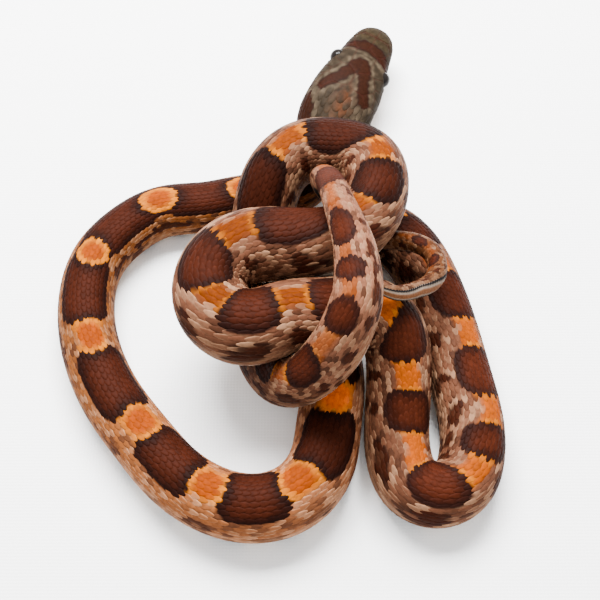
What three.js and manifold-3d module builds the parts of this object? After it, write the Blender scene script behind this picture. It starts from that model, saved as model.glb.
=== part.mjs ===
import * as THREE from 'three';
import { mergeVertices } from 'three/addons/utils/BufferGeometryUtils.js';
import Module from 'manifold-3d';

// A hatchling corn snake lying in a loose heap of loops, about 350 mm from snout to tail tip.
// Millimetres, +Z up. The floor is z = 0 and the middle of the heap is over the origin.
// The snout points towards +Y and the outer loops lie to either side of the heap.

// Route of the middle of the body from snout to tail tip.
// Each row is x, y, z, half the width of the body, then the direction in which the back faces.

const HEAD_AND_NECK = [
  [13.1, 32.6, 4.2, 2.2, 0.27, 0.06, 1],
  [11.25, 28.8, 4.6, 2.9, 0.27, 0.06, 1],
  [9.4, 24.7, 4.7, 3.2, 0.27, 0.06, 1],
  [7.5, 20.8, 4.4, 3.0, 0.18, 0.04, 1],
  [5.7, 16.3, 3.1, 2.75, 0.05, 0, 1],
  [3.3, 10.8, 2.6, 2.75, 0, 0, 1],
];

const LEFT_LOOP = [
  [-3.7, 8.8, 2.6, 2.8, 0, 0, 1],
  [-8.5, 7.6, 2.7, 2.9, 0, 0, 1],
  [-13.4, 6.9, 2.75, 2.95, 0, 0, 1],
  [-17.5, 4.3, 2.8, 3.0, 0, 0, 1],
  [-20.5, 0.2, 2.85, 3.05, 0, 0, 1],
  [-21.4, -5.4, 2.9, 3.1, 0, 0, 1],
  [-20.2, -11.6, 3.0, 3.2, 0, 0, 1],
  [-17.5, -17.1, 3.05, 3.3, 0, 0, 1],
  [-14.0, -21.7, 3.1, 3.35, 0, 0, 1],
  [-10.6, -25.5, 3.15, 3.4, 0, 0, 1],
  [-6.3, -28.3, 3.2, 3.45, 0, 0, 1],
  [-1.6, -29.2, 3.25, 3.5, 0, 0, 1],
  [2.7, -27.6, 3.25, 3.5, 0, 0, 1],
  [5.1, -24.1, 3.25, 3.5, 0, 0, 1],
  [5.8, -20.1, 3.2, 3.45, 0, 0, 1],
];

const RUN_UNDER_THE_HEAP = [
  [6.3, -15.8, 3.15, 3.4, 0, 0, 1],
  [5.8, -10.7, 3.15, 3.4, 0, 0, 1],
  [4.9, -5.5, 3.15, 3.4, 0, 0, 1],
  [5.3, -0.4, 3.15, 3.4, 0, 0, 1],
  [8.0, 3.6, 3.15, 3.4, 0, 0, 1],
  [12.2, 4.1, 3.15, 3.4, 0, 0, 1],
];

const RIGHT_LOOP = [
  [15.3, 1.6, 3.15, 3.4, 0.1, 0, 1],
  [17.5, -3.0, 3.15, 3.4, 0.2, 0, 1],
  [19.1, -8.9, 3.15, 3.4, 0.23, 0, 1],
  [20.3, -14.9, 3.15, 3.4, 0.23, 0, 1],
  [21.1, -20.1, 3.15, 3.4, 0.2, 0, 1],
  [20.8, -23.9, 3.15, 3.4, 0.15, 0, 1],
  [19.6, -26.5, 3.15, 3.4, 0.08, 0, 1],
  [17.0, -27.7, 3.15, 3.4, 0, 0, 1],
  [14.4, -26.6, 3.15, 3.4, 0.05, 0, 1],
  [13.2, -23.8, 3.2, 3.4, 0.12, 0, 1],
  [13.2, -18.0, 4.4, 3.4, 0.12, 0, 1],
  [13.3, -13.9, 6.3, 3.45, 0.12, 0, 1],
  [12.4, -11.0, 8.4, 3.5, 0.08, 0, 1],
];

const MIDDLE_LOOP = [
  [9.7, -9.8, 10.4, 3.5, 0, 0, 1],
  [6.0, -10.6, 11.4, 3.6, 0, 0, 1],
  [1.6, -11.3, 11.8, 3.7, 0, 0, 1],
  [-2.8, -12.4, 11.6, 3.9, 0, 0, 1],
  [-6.0, -10.5, 11.5, 4.0, -0.1, 0, 1],
  [-6.4, -6.4, 11.8, 3.95, -0.14, 0, 1],
  [-4.0, -3.8, 12.3, 3.95, -0.05, 0, 1],
  [1.1, -3.1, 12.6, 3.85, 0, 0, 1],
  [5.9, -2.9, 12.9, 3.65, 0.1, 0, 1],
];

const UPPER_LOOP = [
  [9.2, -0.9, 13.1, 3.5, 0.3, 0, 1],
  [11.0, 3.5, 12.8, 3.5, 0.36, 0, 1],
  [10.2, 8.2, 11.7, 3.5, 0.25, 0.05, 1],
  [7.0, 10.3, 10.6, 3.5, 0, 0.1, 1],
  [2.8, 10.4, 10.0, 3.45, -0.1, 0.1, 1],
  [-0.1, 7.8, 9.2, 3.45, -0.25, 0, 1],
  [-1.4, 4.4, 7.2, 3.4, -0.27, 0, 1],
  [-2.1, 0.4, 4.2, 3.3, -0.15, 0, 1],
  [-2.3, -5.6, 3.0, 3.1, 0, 0, 1],
];

const CLIMB_OVER_THE_HEAP = [
  [-1.6, -11.1, 3.6, 2.9, 0, 0, 1],
  [0.6, -15.85, 6.1, 2.75, 0, -0.2, 1],
  [3.4, -17.5, 10.2, 2.6, -0.2, -0.3, 1],
  [5.7, -16.8, 14.0, 2.7, -0.36, -0.3, 1],
  [7.2, -15.5, 17.3, 2.6, -0.36, -0.2, 1],
  [8.2, -13.2, 19.1, 2.5, -0.36, 0, 1],
  [8.4, -10.0, 19.5, 2.3, -0.36, 0, 1],
  [8.1, -7.3, 19.5, 2.1, -0.36, 0, 1],
  [7.4, -4.5, 19.4, 1.85, -0.36, 0, 1],
  [6.6, -1.4, 18.6, 1.6, -0.3, 0.1, 1],
  [6.0, 1.7, 16.8, 1.5, -0.2, 0.5, 1],
];

const TAIL = [
  [5.2, 4.5, 13.6, 1.4, -0.1, 1, 0.3],
  [5.8, 4.9, 10.6, 1.3, 0, 1, -0.5],
  [8.3, 2.9, 8.3, 1.2, 0.4, 0.8, -0.5],
  [11.6, 0.1, 8.2, 1.12, 0.2, 0.6, 0.6],
  [14.6, -0.9, 9.3, 1.05, 0.2, 0.4, 0.9],
  [17.0, -2.8, 10.2, 1.08, 0.5, 0.2, 0.8],
  [17.2, -6.2, 11.1, 1.02, 0.8, -0.2, 0.5],
  [14.5, -8.9, 12.8, 0.88, 0.3, -1, 0.2],
  [11.7, -10.0, 14.8, 0.65, 0, -1, 0],
  [9.8, -9.5, 15.5, 0.25, 0, -1, 0],
];

// Head: distance behind the snout, half width, height above the middle and depth below it.
const HEAD_SIZES = [
  [0, 2, 1.05, 1],
  [2.5, 2.65, 1.5, 1.4],
  [4.5, 3.05, 1.85, 1.65],
  [6.6, 3.42, 2.1, 1.9],
  [9, 4, 2.35, 2.15],
  [11.5, 4.3, 2.5, 2.35],
  [14, 4.4, 2.65, 2.5],
  [16, 4.2, 2.72, 2.6],
  [18, 3.7, 2.73, 2.68],
  [20, 3.15, 2.68, 2.72],
  [22, 2.78, 2.64, 2.76],
];
const HEAD_TABLE_END = 22;
const SNOUT_ROUNDING = 2.6;
const HEAD_END = 18;

// Body section: height and depth as shares of the half width, and how square each half is.
const BACK_HEIGHT = 0.95;
const BELLY_DEPTH = 1.0;
const BACK_POWER = 2.1;
const BELLY_POWER = 2.3;
const HEAD_POWER = 2.4;

// Clear space left between one length of the body and the next.
const JOINT_GAP = 0.3;

// Eyes: ball radius, distance behind the snout, out from the middle and up from it.
const EYE_RADIUS = 1.02;
const EYE_BACK = 7.3;
const EYE_OUT = 3.0;
const EYE_UP = 0.62;
const SOCKET_CLEARANCE = 0.12;

// Mouth line: height at the snout, rise towards the corner, length, groove width and depth.
const MOUTH_HEIGHT = -0.42;
const MOUTH_DIP = 0.22;
const MOUTH_LENGTH = 12;
const MOUTH_WIDTH = 0.16;
const MOUTH_DEPTH = 0.16;
const LIP_SWELL = 0.07;

// Nostrils and the brow over each eye.
const NOSTRIL_BACK = 1.5;
const NOSTRIL_UP = 0.38;
const NOSTRIL_RADIUS = 0.3;
const NOSTRIL_DEPTH = 0.28;
const BROW_UP = 1.45;
const BROW_SWELL = 0.16;

// Where one named length of the snake ends and the next begins, in millimetres from the snout.
const LENGTHS = [
  ['neck', HEAD_END, 29],
  ['body_01', 29, 45],
  ['body_02', 45, 61],
  ['body_03', 61, 76],
  ['body_04', 76, 90],
  ['body_05', 90, 104],
  ['body_06', 104, 121],
  ['body_07', 121, 137],
  ['body_08', 137, 155],
  ['body_09', 155, 170],
  ['body_10', 170, 186],
  ['body_11', 186, 200],
  ['body_12', 200, 214],
  ['body_13', 214, 230],
  ['body_14', 230, 243],
  ['body_15', 243, 257],
  ['body_16', 257, 272],
  ['body_17', 272, 284],
  ['body_18', 284, 296],
  ['tail_01', 296, 309],
  ['tail_02', 309, 320],
  ['tail_03', 320, 332],
];
const TAIL_TIP_START = 332;
const STATION_SPACING = 1.9;
const SIDES = 22;

const ROUTE = [
  ...HEAD_AND_NECK,
  ...LEFT_LOOP,
  ...RUN_UNDER_THE_HEAP,
  ...RIGHT_LOOP,
  ...MIDDLE_LOOP,
  ...UPPER_LOOP,
  ...CLIMB_OVER_THE_HEAP,
  ...TAIL,
];

// Natural cubic curve through rows of numbers, with the given parameter at each row.
function naturalCubic(params, rows) {
  const count = rows.length;
  const columns = rows[0].length;
  const gap = params.slice(1).map((value, i) => value - params[i]);
  const bend = rows.map(() => new Array(columns).fill(0));
  for (let c = 0; c < columns; c += 1) {
    const upper = new Array(count).fill(0);
    const right = new Array(count).fill(0);
    for (let i = 1; i < count - 1; i += 1) {
      const after = (rows[i + 1][c] - rows[i][c]) / gap[i];
      const before = (rows[i][c] - rows[i - 1][c]) / gap[i - 1];
      const pivot = 2 * (gap[i - 1] + gap[i]) - gap[i - 1] * upper[i - 1];
      upper[i] = gap[i] / pivot;
      right[i] = (6 * (after - before) - gap[i - 1] * right[i - 1]) / pivot;
    }
    for (let i = count - 2; i > 0; i -= 1) {
      bend[i][c] = right[i] - upper[i] * bend[i + 1][c];
    }
  }
  return (value) => {
    let i = 0;
    while (i < count - 2 && value > params[i + 1]) i += 1;
    const a = params[i + 1] - value;
    const b = value - params[i];
    const h = gap[i];
    return rows[i].map((start, c) => {
      const curved = (bend[i][c] * a ** 3 + bend[i + 1][c] * b ** 3) / (6 * h);
      const first = (start / h - (bend[i][c] * h) / 6) * a;
      const second = (rows[i + 1][c] / h - (bend[i + 1][c] * h) / 6) * b;
      return curved + first + second;
    });
  };
}

// The route as a curve, and a table from distance along it to the curve's own parameter.
const chordParams = [0];
ROUTE.slice(1).forEach((row, i) => {
  const last = ROUTE[i];
  chordParams.push(chordParams[i] + Math.hypot(row[0] - last[0], row[1] - last[1], row[2] - last[2]));
});
const routeCurve = naturalCubic(chordParams, ROUTE);
const TABLE_STEPS = 6000;
const paramEnd = chordParams[chordParams.length - 1];
const distances = [0];
let lastPoint = routeCurve(0);
for (let i = 1; i <= TABLE_STEPS; i += 1) {
  const point = routeCurve((paramEnd * i) / TABLE_STEPS);
  const step = Math.hypot(point[0] - lastPoint[0], point[1] - lastPoint[1], point[2] - lastPoint[2]);
  distances.push(distances[i - 1] + step);
  lastPoint = point;
}
const bodyLength = distances[TABLE_STEPS];

function routeAt(distance) {
  let low = 0;
  let high = TABLE_STEPS;
  while (high - low > 1) {
    const middle = (low + high) >> 1;
    if (distances[middle] <= distance) low = middle;
    else high = middle;
  }
  const share = (distance - distances[low]) / (distances[high] - distances[low]);
  return routeCurve((paramEnd * (low + share)) / TABLE_STEPS);
}

// Middle, forward, back and side directions at a distance along the snake.
function frameAt(distance) {
  const row = routeAt(distance);
  const ahead = routeAt(Math.min(distance + 0.02, bodyLength));
  const behind = routeAt(Math.max(distance - 0.02, 0));
  const middle = new THREE.Vector3(row[0], row[1], row[2]);
  const along = new THREE.Vector3(ahead[0] - behind[0], ahead[1] - behind[1], ahead[2] - behind[2]);
  along.normalize();
  const back = new THREE.Vector3(row[4], row[5], row[6]);
  back.addScaledVector(along, -back.dot(along)).normalize();
  const side = new THREE.Vector3().crossVectors(along, back);
  return { middle, along, back, side, half: row[3] };
}

const headCurve = naturalCubic(HEAD_SIZES.map((row) => row[0]), HEAD_SIZES);

// Half width, height, depth and squareness of the section at a distance from the snout.
function sectionAt(distance, half) {
  if (distance >= HEAD_TABLE_END) {
    return { half, up: half * BACK_HEIGHT, down: half * BELLY_DEPTH, power: BACK_POWER };
  }
  const sizes = headCurve(distance);
  const short = Math.max(0, 1 - distance / SNOUT_ROUNDING);
  const round = Math.max(0, 1 - short ** 2.4) ** (1 / 2.4);
  const power = HEAD_POWER + (BACK_POWER - HEAD_POWER) * Math.min(1, Math.max(0, (distance - 14) / 6));
  return { half: sizes[1] * round, up: sizes[2] * round, down: sizes[3] * round, power };
}

// Sideways and upward place on the section at an angle from the middle of the back.
function sectionPoint(section, angle) {
  const sine = Math.sin(angle);
  const cosine = Math.cos(angle);
  const power = cosine > 0 ? section.power : BELLY_POWER;
  const height = cosine > 0 ? section.up : section.down;
  return [
    section.half * Math.sign(sine) * Math.abs(sine) ** (2 / power),
    height * Math.sign(cosine) * Math.abs(cosine) ** (2 / power),
  ];
}

function bump(value, width) {
  return Math.exp(-((value / width) ** 2));
}

// How far the head's surface stands out or in from its plain section.
function headRelief(distance, out, up) {
  const along = Math.min(1, distance / MOUTH_LENGTH);
  const mouth = MOUTH_HEIGHT - MOUTH_DIP * Math.sin(Math.PI * along) + 0.12 * along;
  const fade = Math.min(1, Math.max(0, (MOUTH_LENGTH - distance) / 0.8));
  const fromMouth = up - mouth;
  let relief = LIP_SWELL * fade * (bump(fromMouth - 0.32, 0.22) + bump(fromMouth + 0.32, 0.22));
  relief -= MOUTH_DEPTH * fade * bump(fromMouth, MOUTH_WIDTH * 0.6);
  const fromNostril = Math.hypot(distance - NOSTRIL_BACK, up - NOSTRIL_UP);
  relief -= NOSTRIL_DEPTH * bump(fromNostril, NOSTRIL_RADIUS * 0.6);
  relief += BROW_SWELL * bump(distance - EYE_BACK, 1.5) * bump(up - BROW_UP, 0.3);
  return relief;
}

function surfacePoint(distance, angle) {
  const frame = frameAt(distance);
  const section = sectionAt(distance, frame.half);
  let [out, up] = sectionPoint(section, angle);
  if (distance < HEAD_END) {
    const reach = Math.hypot(out, up);
    const relief = headRelief(distance, Math.abs(out), up);
    const scale = reach > 0.5 ? (reach + relief) / reach : 1;
    out *= scale;
    up *= scale;
  }
  const point = frame.middle.clone();
  point.addScaledVector(frame.side, out).addScaledVector(frame.back, up);
  point.z = Math.max(point.z, 0);
  return point;
}

// A closed skin through rings of points, ending in a flat cap or in a single point.
function loft(rings, startPoint, endPoint) {
  const positions = [];
  const around = rings[0].length;
  rings.forEach((ring) => ring.forEach((point) => positions.push(point.x, point.y, point.z)));
  const start = rings.length * around;
  positions.push(startPoint.x, startPoint.y, startPoint.z);
  positions.push(endPoint.x, endPoint.y, endPoint.z);
  const triangles = [];
  for (let j = 0; j < around; j += 1) {
    const next = (j + 1) % around;
    for (let i = 0; i < rings.length - 1; i += 1) {
      const a = i * around + j;
      const b = i * around + next;
      const c = (i + 1) * around + j;
      const d = (i + 1) * around + next;
      triangles.push(a, b, d, a, d, c);
    }
    const last = (rings.length - 1) * around;
    triangles.push(start, next, j);
    triangles.push(start + 1, last + j, last + next);
  }
  const geometry = new THREE.BufferGeometry();
  geometry.setAttribute('position', new THREE.Float32BufferAttribute(positions, 3));
  geometry.setIndex(triangles);
  return geometry;
}

function evenAngles(count) {
  return Array.from({ length: count }, (_, j) => (2 * Math.PI * j) / count);
}

function ringAt(distance, angles) {
  return angles.map((angle) => surfacePoint(distance, angle));
}

function ringMiddle(ring) {
  const middle = new THREE.Vector3();
  ring.forEach((point) => middle.add(point));
  return middle.multiplyScalar(1 / ring.length);
}

// One length of the body, with a flat end at each joint.
function bodyLengthGeometry(from, to, sides) {
  const start = from + JOINT_GAP / 2;
  const end = to - JOINT_GAP / 2;
  const steps = Math.max(4, Math.ceil((end - start) / STATION_SPACING));
  const angles = evenAngles(sides);
  const rings = [];
  for (let i = 0; i <= steps; i += 1) {
    rings.push(ringAt(start + ((end - start) * i) / steps, angles));
  }
  return loft(rings, ringMiddle(rings[0]), ringMiddle(rings[steps]));
}

function tailTipGeometry() {
  const start = TAIL_TIP_START + JOINT_GAP / 2;
  const steps = 9;
  const angles = evenAngles(12);
  const rings = [];
  for (let i = 0; i < steps; i += 1) {
    rings.push(ringAt(start + ((bodyLength - start) * i) / steps, angles));
  }
  return loft(rings, ringMiddle(rings[0]), frameAt(bodyLength).middle);
}

// Angles round the head, closer together beside the mouth line and the eyes.
function headAngles() {
  const oneSide = [12, 24, 36, 48, 58, 66, 73, 80, 86, 91, 95, 98, 101, 104, 107, 110, 113, 117, 123, 132, 146, 162];
  const right = oneSide.map((degrees) => (degrees * Math.PI) / 180);
  const left = [...right].reverse().map((angle) => 2 * Math.PI - angle);
  return [0, ...right, Math.PI, ...left];
}

function headGeometry() {
  const end = HEAD_END - JOINT_GAP / 2;
  const angles = headAngles();
  const stations = [0.06, 0.2, 0.42, 0.7, 0.95, 1.15, 1.35, 1.65, 2.1, 2.7, 3.3, 3.9, 4.4, 4.9, 5.4];
  stations.push(5.9, 6.5, 7.2, 8.0, 8.6, 9.1, 9.8, 11, 12.4, 13.7, end);
  const rings = stations.map((distance) => ringAt(distance, angles));
  return loft(rings, frameAt(0).middle, ringMiddle(rings[rings.length - 1]));
}

function eyeCentre(sign) {
  const frame = frameAt(EYE_BACK);
  const centre = frame.middle.clone();
  return centre.addScaledVector(frame.side, sign * EYE_OUT).addScaledVector(frame.back, EYE_UP);
}

const wasm = await Module();
wasm.setup();

function toSolid(geometry) {
  const bare = geometry.clone();
  bare.deleteAttribute('normal');
  bare.deleteAttribute('uv');
  const merged = mergeVertices(bare, 1e-4);
  return new wasm.Manifold(new wasm.Mesh({
    numProp: 3,
    vertProperties: new Float32Array(merged.attributes.position.array),
    triVerts: new Uint32Array(merged.index.array),
  }));
}

function fromSolid(solid) {
  const mesh = solid.getMesh();
  const geometry = new THREE.BufferGeometry();
  geometry.setAttribute('position', new THREE.BufferAttribute(mesh.vertProperties, 3));
  geometry.setIndex(new THREE.BufferAttribute(mesh.triVerts, 1));
  return geometry;
}

function headWithSockets() {
  let solid = toSolid(headGeometry());
  [1, -1].forEach((sign) => {
    const ball = new THREE.SphereGeometry(EYE_RADIUS + SOCKET_CLEARANCE, 20, 12);
    const centre = eyeCentre(sign);
    ball.translate(centre.x, centre.y, centre.z);
    solid = solid.subtract(toSolid(ball));
  });
  return fromSolid(solid);
}

const headMaterial = new THREE.MeshStandardMaterial({ color: 0x8a6552, roughness: 0.5, metalness: 0 });
const foreMaterial = new THREE.MeshStandardMaterial({ color: 0x9a4a22, roughness: 0.5, metalness: 0 });
const rearMaterial = new THREE.MeshStandardMaterial({ color: 0x85564a, roughness: 0.5, metalness: 0 });
const tailMaterial = new THREE.MeshStandardMaterial({ color: 0xa5694c, roughness: 0.5, metalness: 0 });
const eyeMaterial = new THREE.MeshStandardMaterial({ color: 0x15171c, roughness: 0.12, metalness: 0 });

const snake = new THREE.Group();

function addMesh(name, geometry, material) {
  const mesh = new THREE.Mesh(geometry, material);
  mesh.name = name;
  snake.add(mesh);
  return mesh;
}

addMesh('head', headWithSockets(), headMaterial);
[['eye_left', 1], ['eye_right', -1]].forEach(([name, sign]) => {
  const eye = addMesh(name, new THREE.SphereGeometry(EYE_RADIUS, 20, 12), eyeMaterial);
  eye.position.copy(eyeCentre(sign));
});

LENGTHS.forEach(([name, from, to]) => {
  let material = from < 150 ? foreMaterial : rearMaterial;
  if (name.startsWith('tail')) material = tailMaterial;
  const sides = from < 296 ? SIDES : 16;
  addMesh(name, bodyLengthGeometry(from, to, sides), material);
});
addMesh('tail_tip', tailTipGeometry(), tailMaterial);

export default snake;
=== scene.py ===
"""A still, life-size corn snake in a loose heap on a white cloth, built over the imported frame."""

import math
from types import SimpleNamespace

import bpy
import numpy as np
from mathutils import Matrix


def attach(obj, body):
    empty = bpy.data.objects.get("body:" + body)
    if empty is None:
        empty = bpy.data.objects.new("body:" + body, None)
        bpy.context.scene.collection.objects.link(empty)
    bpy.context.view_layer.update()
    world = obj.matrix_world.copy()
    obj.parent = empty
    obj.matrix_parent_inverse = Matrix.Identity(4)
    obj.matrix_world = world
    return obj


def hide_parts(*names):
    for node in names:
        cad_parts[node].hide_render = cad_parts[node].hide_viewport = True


bl_info = {
    "name": "Corn Snake Model",
    "version": (1, 0, 0),
    "blender": (4, 5, 0),
    "location": "3D View > Sidebar > Snake",
    "description": "Builds a life-size young corn snake with its scales, markings and setting",
    "category": "Object",
}

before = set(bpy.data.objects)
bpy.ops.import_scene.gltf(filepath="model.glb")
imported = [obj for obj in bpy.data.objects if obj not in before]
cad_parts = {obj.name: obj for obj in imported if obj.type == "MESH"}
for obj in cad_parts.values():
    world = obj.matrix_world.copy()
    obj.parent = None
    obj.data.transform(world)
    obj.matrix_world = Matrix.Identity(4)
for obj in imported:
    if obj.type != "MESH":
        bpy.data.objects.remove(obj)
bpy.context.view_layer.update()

MM = 0.001
BODY = "root"

# Route of the middle of the body, in millimetres, the same as in the CAD model.
# Each row is x, y, z, half the width of the body, then the direction in which the back faces.

HEAD_AND_NECK = [
    (13.1, 32.6, 4.2, 2.2, 0.27, 0.06, 1),
    (11.25, 28.8, 4.6, 2.9, 0.27, 0.06, 1),
    (9.4, 24.7, 4.7, 3.2, 0.27, 0.06, 1),
    (7.5, 20.8, 4.4, 3.0, 0.18, 0.04, 1),
    (5.7, 16.3, 3.1, 2.75, 0.05, 0, 1),
    (3.3, 10.8, 2.6, 2.75, 0, 0, 1),
]

LEFT_LOOP = [
    (-3.7, 8.8, 2.6, 2.8, 0, 0, 1),
    (-8.5, 7.6, 2.7, 2.9, 0, 0, 1),
    (-13.4, 6.9, 2.75, 2.95, 0, 0, 1),
    (-17.5, 4.3, 2.8, 3.0, 0, 0, 1),
    (-20.5, 0.2, 2.85, 3.05, 0, 0, 1),
    (-21.4, -5.4, 2.9, 3.1, 0, 0, 1),
    (-20.2, -11.6, 3.0, 3.2, 0, 0, 1),
    (-17.5, -17.1, 3.05, 3.3, 0, 0, 1),
    (-14.0, -21.7, 3.1, 3.35, 0, 0, 1),
    (-10.6, -25.5, 3.15, 3.4, 0, 0, 1),
    (-6.3, -28.3, 3.2, 3.45, 0, 0, 1),
    (-1.6, -29.2, 3.25, 3.5, 0, 0, 1),
    (2.7, -27.6, 3.25, 3.5, 0, 0, 1),
    (5.1, -24.1, 3.25, 3.5, 0, 0, 1),
    (5.8, -20.1, 3.2, 3.45, 0, 0, 1),
]

RUN_UNDER_THE_HEAP = [
    (6.3, -15.8, 3.15, 3.4, 0, 0, 1),
    (5.8, -10.7, 3.15, 3.4, 0, 0, 1),
    (4.9, -5.5, 3.15, 3.4, 0, 0, 1),
    (5.3, -0.4, 3.15, 3.4, 0, 0, 1),
    (8.0, 3.6, 3.15, 3.4, 0, 0, 1),
    (12.2, 4.1, 3.15, 3.4, 0, 0, 1),
]

RIGHT_LOOP = [
    (15.3, 1.6, 3.15, 3.4, 0.1, 0, 1),
    (17.5, -3.0, 3.15, 3.4, 0.2, 0, 1),
    (19.1, -8.9, 3.15, 3.4, 0.23, 0, 1),
    (20.3, -14.9, 3.15, 3.4, 0.23, 0, 1),
    (21.1, -20.1, 3.15, 3.4, 0.2, 0, 1),
    (20.8, -23.9, 3.15, 3.4, 0.15, 0, 1),
    (19.6, -26.5, 3.15, 3.4, 0.08, 0, 1),
    (17.0, -27.7, 3.15, 3.4, 0, 0, 1),
    (14.4, -26.6, 3.15, 3.4, 0.05, 0, 1),
    (13.2, -23.8, 3.2, 3.4, 0.12, 0, 1),
    (13.2, -18.0, 4.4, 3.4, 0.12, 0, 1),
    (13.3, -13.9, 6.3, 3.45, 0.12, 0, 1),
    (12.4, -11.0, 8.4, 3.5, 0.08, 0, 1),
]

MIDDLE_LOOP = [
    (9.7, -9.8, 10.4, 3.5, 0, 0, 1),
    (6.0, -10.6, 11.4, 3.6, 0, 0, 1),
    (1.6, -11.3, 11.8, 3.7, 0, 0, 1),
    (-2.8, -12.4, 11.6, 3.9, 0, 0, 1),
    (-6.0, -10.5, 11.5, 4.0, -0.1, 0, 1),
    (-6.4, -6.4, 11.8, 3.95, -0.14, 0, 1),
    (-4.0, -3.8, 12.3, 3.95, -0.05, 0, 1),
    (1.1, -3.1, 12.6, 3.85, 0, 0, 1),
    (5.9, -2.9, 12.9, 3.65, 0.1, 0, 1),
]

UPPER_LOOP = [
    (9.2, -0.9, 13.1, 3.5, 0.3, 0, 1),
    (11.0, 3.5, 12.8, 3.5, 0.36, 0, 1),
    (10.2, 8.2, 11.7, 3.5, 0.25, 0.05, 1),
    (7.0, 10.3, 10.6, 3.5, 0, 0.1, 1),
    (2.8, 10.4, 10.0, 3.45, -0.1, 0.1, 1),
    (-0.1, 7.8, 9.2, 3.45, -0.25, 0, 1),
    (-1.4, 4.4, 7.2, 3.4, -0.27, 0, 1),
    (-2.1, 0.4, 4.2, 3.3, -0.15, 0, 1),
    (-2.3, -5.6, 3.0, 3.1, 0, 0, 1),
]

CLIMB_OVER_THE_HEAP = [
    (-1.6, -11.1, 3.6, 2.9, 0, 0, 1),
    (0.6, -15.85, 6.1, 2.75, 0, -0.2, 1),
    (3.4, -17.5, 10.2, 2.6, -0.2, -0.3, 1),
    (5.7, -16.8, 14.0, 2.7, -0.36, -0.3, 1),
    (7.2, -15.5, 17.3, 2.6, -0.36, -0.2, 1),
    (8.2, -13.2, 19.1, 2.5, -0.36, 0, 1),
    (8.4, -10.0, 19.5, 2.3, -0.36, 0, 1),
    (8.1, -7.3, 19.5, 2.1, -0.36, 0, 1),
    (7.4, -4.5, 19.4, 1.85, -0.36, 0, 1),
    (6.6, -1.4, 18.6, 1.6, -0.3, 0.1, 1),
    (6.0, 1.7, 16.8, 1.5, -0.2, 0.5, 1),
]

TAIL = [
    (5.2, 4.5, 13.6, 1.4, -0.1, 1, 0.3),
    (5.8, 4.9, 10.6, 1.3, 0, 1, -0.5),
    (8.3, 2.9, 8.3, 1.2, 0.4, 0.8, -0.5),
    (11.6, 0.1, 8.2, 1.12, 0.2, 0.6, 0.6),
    (14.6, -0.9, 9.3, 1.05, 0.2, 0.4, 0.9),
    (17.0, -2.8, 10.2, 1.08, 0.5, 0.2, 0.8),
    (17.2, -6.2, 11.1, 1.02, 0.8, -0.2, 0.5),
    (14.5, -8.9, 12.8, 0.88, 0.3, -1, 0.2),
    (11.7, -10.0, 14.8, 0.65, 0, -1, 0),
    (9.8, -9.5, 15.5, 0.25, 0, -1, 0),
]

ROUTE = np.array(
    HEAD_AND_NECK + LEFT_LOOP + RUN_UNDER_THE_HEAP + RIGHT_LOOP
    + MIDDLE_LOOP + UPPER_LOOP + CLIMB_OVER_THE_HEAP + TAIL,
    dtype=float,
)

# Head: distance behind the snout, half width, height above the middle and depth below it.
HEAD_SIZES = np.array([
    (0, 2, 1.05, 1),
    (2.5, 2.65, 1.5, 1.4),
    (4.5, 3.05, 1.85, 1.65),
    (6.6, 3.42, 2.1, 1.9),
    (9, 4, 2.35, 2.15),
    (11.5, 4.3, 2.5, 2.35),
    (14, 4.4, 2.65, 2.5),
    (16, 4.2, 2.72, 2.6),
    (18, 3.7, 2.73, 2.68),
    (20, 3.15, 2.68, 2.72),
    (22, 2.78, 2.64, 2.76),
])
SNOUT_ROUNDING = 2.6
HEAD_END = 22.0
BACK_HEIGHT = 0.95
BELLY_DEPTH = 1.0
BACK_POWER = 2.1
BELLY_POWER = 2.3
HEAD_POWER = 2.4

EYE_RADIUS = 1.02
EYE_BACK = 7.3
EYE_OUT = 3.0
EYE_UP = 0.62

MOUTH_HEIGHT = -0.42
MOUTH_DIP = 0.22
MOUTH_LENGTH = 12.0

# Points of the skin: around the body, then along the snout's tip, the head and the rest.
SKIN_AROUND = 168
TIP_RINGS = 16
TIP_LENGTH = 0.3
HEAD_RINGS = 220
FINE_LENGTH = 15.0
BODY_RINGS = 350

# Scales: degrees of the body that the rows on the back cover, and half the width of a belly scute.
ROWS_SPAN = 250.0
SCUTE_HALF = 60
TAIL_RING = 296

# The skin's unwrap: how many lanes it is cut into, and how large one scale is on it.
UNWRAP_LANES = 5
UNWRAP_PATCH = 0.003

# Camera and main light, in metres and degrees.
CAMERA_LENS = 69
CAMERA_ELEVATION = 63
CAMERA_REACH = 0.1334
CAMERA_TARGET = (0.00273, -0.00343, 0.0)
KEY_PLACE = (-0.015, 0.11, 0.19)
KEY_TARGET = (0, -0.005, 0.005)
KEY_LENGTH = 0.17
KEY_WIDTH = 0.1
CLOTH_HALF = 0.6

# Large shields of the head: distance behind the snout and angle from the middle of the back.
MIDDLE_SHIELDS = [(0, 0), (7.2, 0), (0.4, 180), (13.3, 0)]
PAIRED_SHIELDS = [
    (1.4, 28), (3.7, 30), (7.3, 43), (10.3, 24), (12.9, 22),
    (1.2, 66), (2.7, 70), (4.3, 70), (5.9, 68), (9.0, 60), (9.2, 80),
    (10.3, 66), (10.4, 84), (11.6, 46), (11.4, 64), (11.6, 84), (13, 56), (13, 76),
    (0.9, 94), (2.2, 95), (3.5, 96), (4.9, 97), (6.4, 98), (7.9, 99), (9.5, 99), (11.1, 98), (12.6, 98),
    (1, 122), (2.3, 121), (3.8, 121), (5.3, 121), (6.9, 120), (8.6, 120), (10.3, 118), (12, 117),
    (2.9, 152), (5.5, 158), (7.3, 140), (8.3, 164), (9.4, 142), (10.9, 160), (12, 138), (13, 165),
]

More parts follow.
